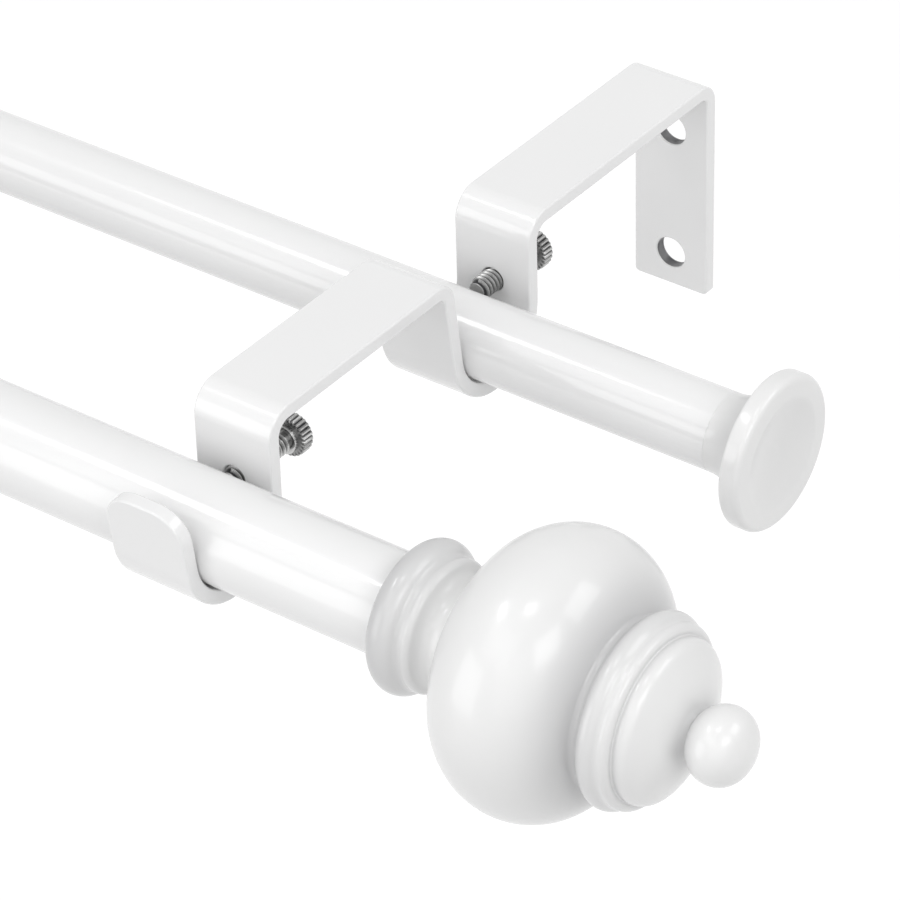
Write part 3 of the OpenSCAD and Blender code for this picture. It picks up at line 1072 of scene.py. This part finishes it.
@dataclass
class ThumbScrew:
    """Small machine screw with a knurled head, lying along Y with its tip to the room.

    Its round sizes are diameters.
    """

    row: Row
    side: Side
    thread: float = 4.8 * MM
    pitch: float = 1.06 * MM
    root: float = 3.7 * MM
    ridge_sink: float = 0.05 * MM
    run_out_turns: float = 1.2
    shank: float = 16 * MM
    tip: float = 3.4 * MM
    collar: float = 6 * MM
    collar_thickness: float = 1.2 * MM
    collar_sink: float = 0.2 * MM
    head: float = 8.6 * MM
    head_thickness: float = 3 * MM
    chamfer: float = 0.35 * MM
    grooves: int = 26
    groove_depth: float = 0.42 * MM
    groove_steps: int = 6
    groove_shape: float = 1.3
    dish: float = 5.2 * MM
    dish_slope: float = 0.3 * MM
    dish_border: float = 0.5 * MM
    dish_depth: float = 0.5 * MM
    # The metal's brightness on the tip and on the head's flat faces, from root to crest, on
    # the scale of the grooves' painted shade
    tip_shine: float = 0.8
    face_shine: float = 0.5
    name: str = field(init=False)

    def __post_init__(self) -> None:
        """Names the screw after its node."""
        self.name = f"thumb_screw_{self.row.value}_{self.side.word}"

    def _core(self) -> TurnedOutline:
        """Draws the shank's core and the collar.

        Returns:
            Their outline, from the tip.
        """
        bevel = (self.root - self.tip) / 2
        top = self.shank + self.collar_thickness + self.collar_sink
        return (TurnedOutline(0, 0).line(0, self.tip / 2).line(bevel, self.root / 2)
                .line(self.shank, self.root / 2).line(self.shank, self.collar / 2)
                .line(top, self.collar / 2).line(top, 0))

    def _thread(self, piece: Piece, steps: int = 40) -> None:
        """Winds the thread's ridge round the core.

        Args:
            piece: the piece that takes the ridge.
            steps: how many faces go round in one turn.
        """
        flat = self.pitch / 8
        flank = self.pitch * 3 / 8
        crest, root = self.thread / 2, self.root / 2 - self.ridge_sink
        start = self.tip / 8
        verts, edges = piece.section(
            [(start, root), (start + flank, crest), (start + flank + flat, crest),
             (start + 2 * flank + flat, root)], closed=True)
        turns = (self.shank - start - self.pitch * self.run_out_turns) / self.pitch
        count = int(turns * steps)
        wound = bmesh.ops.spin(piece.bm, geom=verts + edges, cent=(0, 0, 0), axis=(1, 0, 0),
                               dvec=(self.pitch / steps, 0, 0), angle=math.tau * count / steps,
                               steps=count, use_merge=False)
        for run_out in (verts, [part for part in wound["geom_last"]
                                if isinstance(part, bmesh.types.BMVert)]):
            bmesh.ops.contextual_create(piece.bm, geom=run_out)

    def _head(self, piece: Piece) -> None:
        """Turns the head, chamfered and dished behind, and flutes its rim.

        Args:
            piece: the piece that takes the head.
        """
        base = self.shank + self.collar_thickness
        back = base + self.head_thickness
        rim, chamfer, dish = self.head / 2, self.chamfer, self.dish / 2
        floor = back - self.dish_depth
        piece.turn([(base, 0.0), (base, dish + self.dish_border), (base, rim - chamfer),
                    (base + chamfer, rim), (back - chamfer, rim), (back, rim - chamfer),
                    (back, dish), (floor, dish - self.dish_slope), (floor, 0.0)],
                   steps=self.grooves * self.groove_steps)
        for vert in piece.bm.verts:
            radius = off_axis(vert.co)
            if radius < rim - 1.1 * chamfer:
                continue
            share = 1.0 if radius > rim - chamfer / 2 else 0.5
            swing = abs(math.sin(self.grooves * math.atan2(vert.co.y, vert.co.z) / 2))
            depth = share * self.groove_depth * (1 - swing ** self.groove_shape)
            vert.co.yz = vert.co.yz * (1 - depth / radius)

    def _mark_crests(self, piece: Piece) -> None:
        """Writes how far each point stands out of its groove, for the shade painted into the
        metal's colour.

        Args:
            piece: the whole screw, still with its axis on X.
        """
        layer = piece.bm.verts.layers.float.new("crest")
        head_start = self.shank + self.collar_thickness - HAIR
        for vert in piece.bm.verts:
            radius = off_axis(vert.co)
            if vert.co.x < self.shank:
                low, high = self.root / 2, self.thread / 2
            elif vert.co.x < head_start:
                low, high = 0.0, self.collar / 2
            else:
                low, high = self.head / 2 - self.groove_depth, self.head / 2
            if vert.co.x < HAIR:
                vert[layer] = self.tip_shine
            elif vert.co.x > head_start and radius < low - 5 * HAIR:
                vert[layer] = self.face_shine
            else:
                vert[layer] = min(1.0, max(0.0, (radius - low) / (high - low)))

    def build(self, finishes: Finishes) -> bpy.types.Object:
        """Turns, threads and knurls the screw and puts it behind its rod.

        Args:
            finishes: the materials.

        Returns:
            The finished object.
        """
        piece = self._core().spin(f"knurled_{self.name}", steps=48)
        self._thread(piece)
        self._head(piece)
        piece.close()
        self._mark_crests(piece)
        low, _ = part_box(self.name)
        centre = middle(self.name)
        piece.transform(Matrix.Translation((centre.x, low.y, centre.z))
                        @ Matrix.Rotation(math.radians(90), 4, "Z"))
        screw = piece.to_object([finishes.nickel], sharp_angle=28)
        place_on(screw, self.name, body_of(self.name))
        return screw


# ------------------------------------------------------------------------ rods and ends


@dataclass
class Tube:
    """Thin-walled tube with rolled edges, painted outside and bare inside."""

    node: str
    wall: float = 0.8 * MM
    edge: float = 0.16 * MM

    def build(self, finishes: Finishes) -> bpy.types.Object:
        """Draws the tube between the ends that the frame gives.

        Args:
            finishes: the materials.

        Returns:
            The finished object.
        """
        low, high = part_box(self.node)
        length = high.x - low.x
        outer = (high.z - low.z) / 2
        inner = outer - self.wall
        edge, far = self.edge, length - self.edge
        outline = (TurnedOutline(edge, inner)
                   .about((edge, inner + edge), 0, inner + edge, step=30)
                   .line(0, outer - edge).about((edge, outer - edge), edge, outer, step=18)
                   .line(far, outer).about((far, outer - edge), length, outer - edge, step=18)
                   .line(length, inner + edge)
                   .about((far, inner + edge), far, inner, step=30).line(edge, inner))
        piece = outline.spin(f"painted_{self.node}", steps=144)
        for face in piece.bm.faces:
            if off_axis(face.calc_center_median()) < inner + self.wall / 10:
                face.material_index = 1
        centre = middle(self.node)
        piece.transform(Matrix.Translation((low.x, centre.y, centre.z)))
        tube = piece.to_object([finishes.paint, finishes.steel], sharp_angle=50)
        place_on(tube, self.node, body_of(self.node))
        return tube


def end_matrix(node: str, shoulder_x: float, side: Side) -> Matrix:
    """Gives the transform that puts a turned piece at one end of its rod.

    Args:
        node: the node whose axis the piece takes.
        shoulder_x: where the piece's own X = 0 goes.
        side: the end, which the piece points towards.

    Returns:
        The transform.
    """
    centre = middle(node)
    return (Matrix.Translation((shoulder_x, centre.y, centre.z))
            @ Matrix.Scale(side.value, 4, (1, 0, 0)))


def tube_of(row: Row, side: Side) -> str:
    """Returns the node of the tube that makes a rod's end."""
    return f"{row.value}_{'outer' if side is Side.RIGHT else 'inner'}_tube"


def tube_end(row: Row, side: Side) -> float:
    """Returns the X of a rod's end."""
    low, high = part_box(tube_of(row, side))
    return high.x if side is Side.RIGHT else low.x


@dataclass
class EndCap:
    """Flared cap with a dished face, pressed into an end of the rear rod.

    Its round sizes are radii, and its face stands at its length.
    """

    side: Side
    rim: float = 15.8 * MM
    length: float = 12.7 * MM
    rim_thickness: float = 4.2 * MM
    rim_round: float = 1.4 * MM
    back_round: float = 0.7 * MM
    flare_end: float = 14 * MM
    dish: float = 10.75 * MM
    dish_depth: float = 1.6 * MM
    dish_edge: float = 1.2 * MM
    # How grey the shade painted into the dish is
    dish_grey: float = 0.12
    spigot: float = 15 * MM
    spigot_wall: float = 1.6 * MM
    spigot_chamfer: float = 0.5 * MM
    bore_end: float = 0.4 * MM
    # The tube's wall and the gap that the spigot slides in with
    fit: float = 0.88 * MM
    name: str = field(init=False)

    def __post_init__(self) -> None:
        """Names the cap after its node."""
        self.name = f"end_cap_{self.side.word}"

    def _grey_dish(self, piece: Piece) -> None:
        """Paints shade into the dish, a little greyer than the border round it.

        Args:
            piece: the turned cap, still with its axis on X.
        """
        layer = piece.bm.verts.layers.float["hollow"]
        for vert in piece.bm.verts:
            inside = self.dish + self.dish_edge - off_axis(vert.co)
            if vert.co.x > self.length - 2 * self.dish_depth and inside > 0:
                vert[layer] = self.dish_grey * min(1.0, inside / self.dish_edge)

    def build(self, finishes: Finishes) -> bpy.types.Object:
        """Turns the cap and puts it in its tube.

        Args:
            finishes: the materials.

        Returns:
            The finished object.
        """
        node = tube_of(Row.REAR, self.side)
        low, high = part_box(node)
        tube = (high.z - low.z) / 2
        outer = tube - self.fit
        bore, nose = outer - self.spigot_wall, outer - self.spigot_chamfer
        back = self.length - self.rim_thickness
        flare_rise = self.flare_end - tube
        flare = (flare_rise ** 2 + back ** 2) / (2 * flare_rise)
        bowl = (self.dish ** 2 + self.dish_depth ** 2) / (2 * self.dish_depth)
        round_x, round_r = self.length - self.rim_round, self.rim - self.rim_round
        lip = self.dish_edge
        outline = (TurnedOutline(self.bore_end, 0).line(self.bore_end, bore)
                   .line(-self.spigot, bore).line(-self.spigot, nose)
                   .line(self.spigot_chamfer - self.spigot, outer)
                   .line(0, outer).line(0, tube)
                   .about((0, tube + flare), back, self.flare_end)
                   .line(back, self.rim - self.back_round)
                   .about((back + self.back_round, self.rim - self.back_round),
                          back + self.back_round, self.rim, step=15)
                   .line(round_x, self.rim).about((round_x, round_r), self.length, round_r)
                   .line(self.length, self.dish + lip)
                   .about((self.length - 3 * lip, self.dish + lip),
                          self.length - lip / 8, self.dish + lip / 8)
                   .about((self.length - self.dish_depth + bowl, 0),
                          self.length - self.dish_depth, 0))
        piece = outline.spin(f"enamelled_{self.name}")
        # Painted shade in the flare's throat, grey in the enamel
        throat_shade = Hollow(x=back - 2 * MM, radius=tube + 1 * MM, reach=3.5 * MM, depth=0.5)
        mark_hollows(piece, (throat_shade,))
        self._grey_dish(piece)
        piece.transform(end_matrix(node, tube_end(Row.REAR, self.side), self.side))
        cap = piece.to_object([finishes.enamel], sharp_angle=40)
        place_on(cap, self.name, body_of(self.name))
        return cap


@dataclass
class Finial:
    """Turned urn finial: flange, bead, neck, bulb, cove, disc, dome and ball.

    Its round sizes are radii, and each place is measured from the flange's near face.
    """

    side: Side
    flange: float = 14.9 * MM
    flange_thickness: float = 6.6 * MM
    flange_hollow: float = 1.4 * MM
    bead: float = 12.9 * MM
    bead_thickness: float = 3 * MM
    neck_hollow: float = 3.3 * MM
    bulb: Oval = Oval(x=31.963 * MM, radius=27.4 * MM, half_length=18.3 * MM, crown=15 * MM)
    cove_hollow: float = 1.1 * MM
    disc_x: float = 48.398 * MM
    disc: float = 18.6 * MM
    disc_thickness: float = 4.4 * MM
    disc_hollow: float = 1.2 * MM
    ring_x: float = 52.198 * MM
    ring: float = 17.5 * MM
    ring_thickness: float = 2.6 * MM
    ring_hollow: float = 0.3 * MM
    dome: Oval = Oval(x=55.598 * MM, radius=15.6 * MM, half_length=6.2 * MM, crown=2.6 * MM)
    ball_neck: float = 3.9 * MM
    ball_hollow: float = 2 * MM
    ball: Oval = Oval(x=67.298 * MM, radius=7.4 * MM, half_length=6 * MM, crown=5.52 * MM)
    bore: float = 3.02 * MM
    bore_depth: float = 16 * MM
    # Place along the axis, radius, reach and depth of each painted shade, from flange to ball
    hollows: tuple[Hollow, ...] = (
        Hollow(0.5 * MM, 15 * MM, 6 * MM, 0.9), Hollow(6.8 * MM, 11.6 * MM, 2.2 * MM, 0.7),
        Hollow(0.5 * MM, 15 * MM, 3.4 * MM, 1), Hollow(45.4 * MM, 16.6 * MM, 7 * MM, 0.75),
        Hollow(52.6 * MM, 16.6 * MM, 1 * MM, 0.3), Hollow(55.2 * MM, 15.6 * MM, 1.2 * MM, 0.3),
        Hollow(61.4 * MM, 3.4 * MM, 3.4 * MM, 0.5))
    name: str = field(init=False)

    def __post_init__(self) -> None:
        """Names the finial after its node."""
        self.name = f"finial_{self.side.word}"

    @staticmethod
    def _rim(x: float, radius: float, thickness: float, hollow: float) -> Moulding:
        """Returns the round rim of a disc.

        Args:
            x: the disc's near face.
            radius: the disc's radius.
            thickness: the disc's thickness, which its rim rounds off fully.
            hollow: the radius of the hollow after it.

        Returns:
            The rim.
        """
        half = thickness / 2
        return Moulding((x + half, radius - half), half, hollow)

    def _outline(self) -> TurnedOutline:
        """Draws the profile that the finial is turned to.

        Returns:
            The half outline, from the stud's bore round to the ball's tip.
        """
        flange = self._rim(0, self.flange, self.flange_thickness, self.flange_hollow)
        bead = self._rim(self.flange_thickness, self.bead, self.bead_thickness,
                         self.neck_hollow)
        disc = self._rim(self.disc_x, self.disc, self.disc_thickness, self.disc_hollow)
        ring = self._rim(self.ring_x, self.ring, self.ring_thickness, self.ring_hollow)
        _, shoulder, face = self.dome.rounds()
        outline = (TurnedOutline(self.bore_depth, 0).line(self.bore_depth, self.bore)
                   .line(0, self.bore).line(0, flange.centre[1])
                   .follow([flange, bead, *self.bulb.rounds(self.cove_hollow), disc, ring,
                            shoulder, face]))
        near, crown, far = self.ball.rounds()
        hollow_r = self.ball_neck + self.ball_hollow
        hub = Vector((face.centre[0] + math.sqrt((face.size + self.ball_hollow) ** 2
                                                 - hollow_r ** 2), hollow_r))
        leave = Vector(face.centre) + (hub - Vector(face.centre)).normalized() * face.size
        crease = crossing(hub, self.ball_hollow, Vector(near.centre), near.size, outer=False)
        outline.about(face.centre, *leave).about(tuple(hub), *crease)
        outline.follow([near, crown, far])
        return outline.about(far.centre, self.ball.x + self.ball.half_length, 0)

    def build(self, finishes: Finishes) -> bpy.types.Object:
        """Turns the finial and puts it at its end of the front rod.

        Args:
            finishes: the materials.

        Returns:
            The finished object.
        """
        piece = self._outline().spin(f"enamelled_{self.name}", steps=160)
        # Paints shade into the finial's hollows, as grey in the enamel
        mark_hollows(piece, self.hollows)
        piece.transform(end_matrix(self.name, tube_end(Row.FRONT, self.side), self.side))
        finial = piece.to_object([finishes.enamel], sharp_angle=40)
        place_on(finial, self.name, body_of(self.name))
        return finial


# --------------------------------------------------------------------- stage and camera


@dataclass(frozen=True)
class Viewpoint:
    """Where the camera stands: angles in degrees about the point that it looks at."""

    aim: tuple[float, float, float] = (-0.01216, -0.06495, -0.03431)
    azimuth: float = 37.37
    elevation: float = 35.16
    roll: float = -1.67
    distance: float = 0.93805
    lens: float = 183.86
    nearest: float = 0.01
    furthest: float = 50.0

    def place(self) -> None:
        """Makes the camera and hands it to the scene."""
        back = outward(self.azimuth, self.elevation)
        right = outward(self.azimuth + 90, 0)
        facing = Matrix((right, back.cross(right), back)).transposed()
        facing = facing @ Matrix.Rotation(math.radians(self.roll), 3, "Z")
        data = bpy.data.cameras.new("viewpoint")
        data.lens = self.lens
        data.clip_start = self.nearest
        data.clip_end = self.furthest
        camera = bpy.data.objects.new("viewpoint", data)
        camera.matrix_world = (Matrix.Translation(Vector(self.aim) + back * self.distance)
                               @ facing.to_4x4())
        bpy.context.scene.collection.objects.link(camera)
        bpy.context.scene.camera = camera


@dataclass(frozen=True)
class Softbox:
    """A rectangular lamp that looks at a point, placed by its direction from there."""

    name: str
    azimuth: float
    elevation: float
    width: float
    height: float
    power: float
    distance: float = 2.0

    def place(self, aim: Vector) -> None:
        """Hangs the lamp.

        Args:
            aim: the point that it looks at.
        """
        away = outward(self.azimuth, self.elevation)
        data = bpy.data.lights.new(self.name, "AREA")
        data.shape = "RECTANGLE"
        data.size = self.width
        data.size_y = self.height
        data.energy = self.power
        lamp = bpy.data.objects.new(self.name, data)
        lamp.matrix_world = (Matrix.Translation(aim + away * self.distance)
                             @ away.to_track_quat("Z", "Y").to_matrix().to_4x4())
        lamp.visible_camera = False
        bpy.context.scene.collection.objects.link(lamp)


@dataclass
class Studio:
    """Pale floor, white surroundings and soft lamps."""

    floor_drop: float = 0.32
    floor_size: float = 12.0
    floor_colour: Colour = (0.64, 0.64, 0.64)
    floor_shade: Colour = (0.6336, 0.6336, 0.6336)
    floor_patches_per_metre: float = 3.0
    # The white that the floor adds where it is seen, at the two ends of the lamps' reach
    floor_lift: Span = (0.44, 0.6)
    lamp_reach: Span = (0.6, 3.6)
    ambient: float = 0.62
    lamp_aim: tuple[float, float, float] = (0.0, -0.12, 0.0)
    softboxes: tuple[Softbox, ...] = (
        Softbox("left_panel", azimuth=-33, elevation=8, width=1.3, height=1.25, power=8.4),
        Softbox("left_strip", azimuth=-54, elevation=58, width=0.45, height=0.26, power=3.2),
        Softbox("front_overhead", azimuth=-12, elevation=46, width=1.5, height=0.9, power=4.0),
        Softbox("front_fill", azimuth=38, elevation=20, width=2.4, height=1.6, power=6.2),
        Softbox("right_overhead", azimuth=68, elevation=36, width=0.9, height=0.8, power=6.6),
        Softbox("back_right", azimuth=118, elevation=42, width=1.0, height=0.8, power=6.4),
        Softbox("top", azimuth=25, elevation=77, width=0.45, height=0.35, power=2.6),
    )

    def _floor_material(self) -> bpy.types.Material:
        """Builds the floor's paper, lifted towards white wherever it is seen.

        Returns:
            The material.
        """
        graph = Graph("pale_floor")
        place = graph.coordinates()
        patches = graph.noise(place, self.floor_patches_per_metre, detail=4.0)
        diffuse = graph.add("ShaderNodeBsdfDiffuse")
        graph.join(graph.blend(patches, self.floor_colour, self.floor_shade),
                   diffuse.inputs["Color"])
        away = graph.add("ShaderNodeVectorMath", operation="LENGTH")
        graph.join(place, away.inputs[0])
        lift = graph.spread(away.outputs["Value"], self.lamp_reach, self.floor_lift)
        glow = graph.add("ShaderNodeEmission", Color=(1, 1, 1, 1))
        graph.join(graph.reckon("MULTIPLY", graph.seen(), lift), glow.inputs["Strength"])
        total = graph.add("ShaderNodeAddShader")
        graph.join(diffuse.outputs[0], total.inputs[0])
        graph.join(glow.outputs[0], total.inputs[1])
        return graph.finish(total)

    def _floor(self) -> None:
        """Lays the floor below the lowest point of the object."""
        piece = Piece("floor")
        bmesh.ops.create_grid(piece.bm, x_segments=1, y_segments=1, size=self.floor_size / 2)
        level = CAD_BOX[0].z - self.floor_drop
        piece.transform(Matrix.Translation((0, 0, level)))
        floor = piece.to_object([self._floor_material()])

    def _world(self) -> None:
        """Surrounds the scene with even light that shows as white."""
        world = bpy.data.worlds.new("white_surroundings")
        world.use_nodes = True
        nodes = Nodes(world.node_tree, "ShaderNodeOutputWorld")
        background = nodes.add("ShaderNodeBackground", Color=(1, 1, 1, 1))
        level = nodes.add("ShaderNodeMapRange", To_Min=self.ambient, To_Max=1.0)
        nodes.join(nodes.seen(), level.inputs["Value"])
        nodes.join(level.outputs["Result"], background.inputs["Strength"])
        nodes.join(background.outputs[0], nodes.output.inputs["Surface"])
        bpy.context.scene.world = world

    def build(self) -> None:
        """Sets the stage, the lamps and the plain colour handling."""
        self._floor()
        self._world()
        for softbox in self.softboxes:
            softbox.place(Vector(self.lamp_aim))
        bpy.context.scene.view_settings.view_transform = "Standard"


# --------------------------------------------------------------------------------- main


def dress_hidden_nodes(finishes: Finishes) -> None:
    """Gives the pieces inside the rods their finish.

    Args:
        finishes: the materials.
    """
    for side in Side:
        for node, material in ((f"tube_plug_{side.word}", finishes.nylon),
                               (f"finial_stud_{side.word}", finishes.steel)):
            for place in frame["nodes"][node].material_slots:
                place.material = material
            LOG.info("%s: finish %s", node, material.name)


def main() -> None:
    """Builds the rod set, the stage and the camera."""
    logging.basicConfig(level=logging.INFO, format="%(name)s: %(message)s")
    finishes = Finishes()
    for side in Side:
        StrapBracket(side).build(finishes)
        for row in Row:
            ThumbScrew(row, side).build(finishes)
        EndCap(side).build(finishes)
        Finial(side).build(finishes)
    for row in Row:
        for part in ("outer", "inner"):
            Tube(f"{row.value}_{part}_tube").build(finishes)
    dress_hidden_nodes(finishes)
    Studio().build()
    Viewpoint().place()


if __name__ == "__main__":
    main()
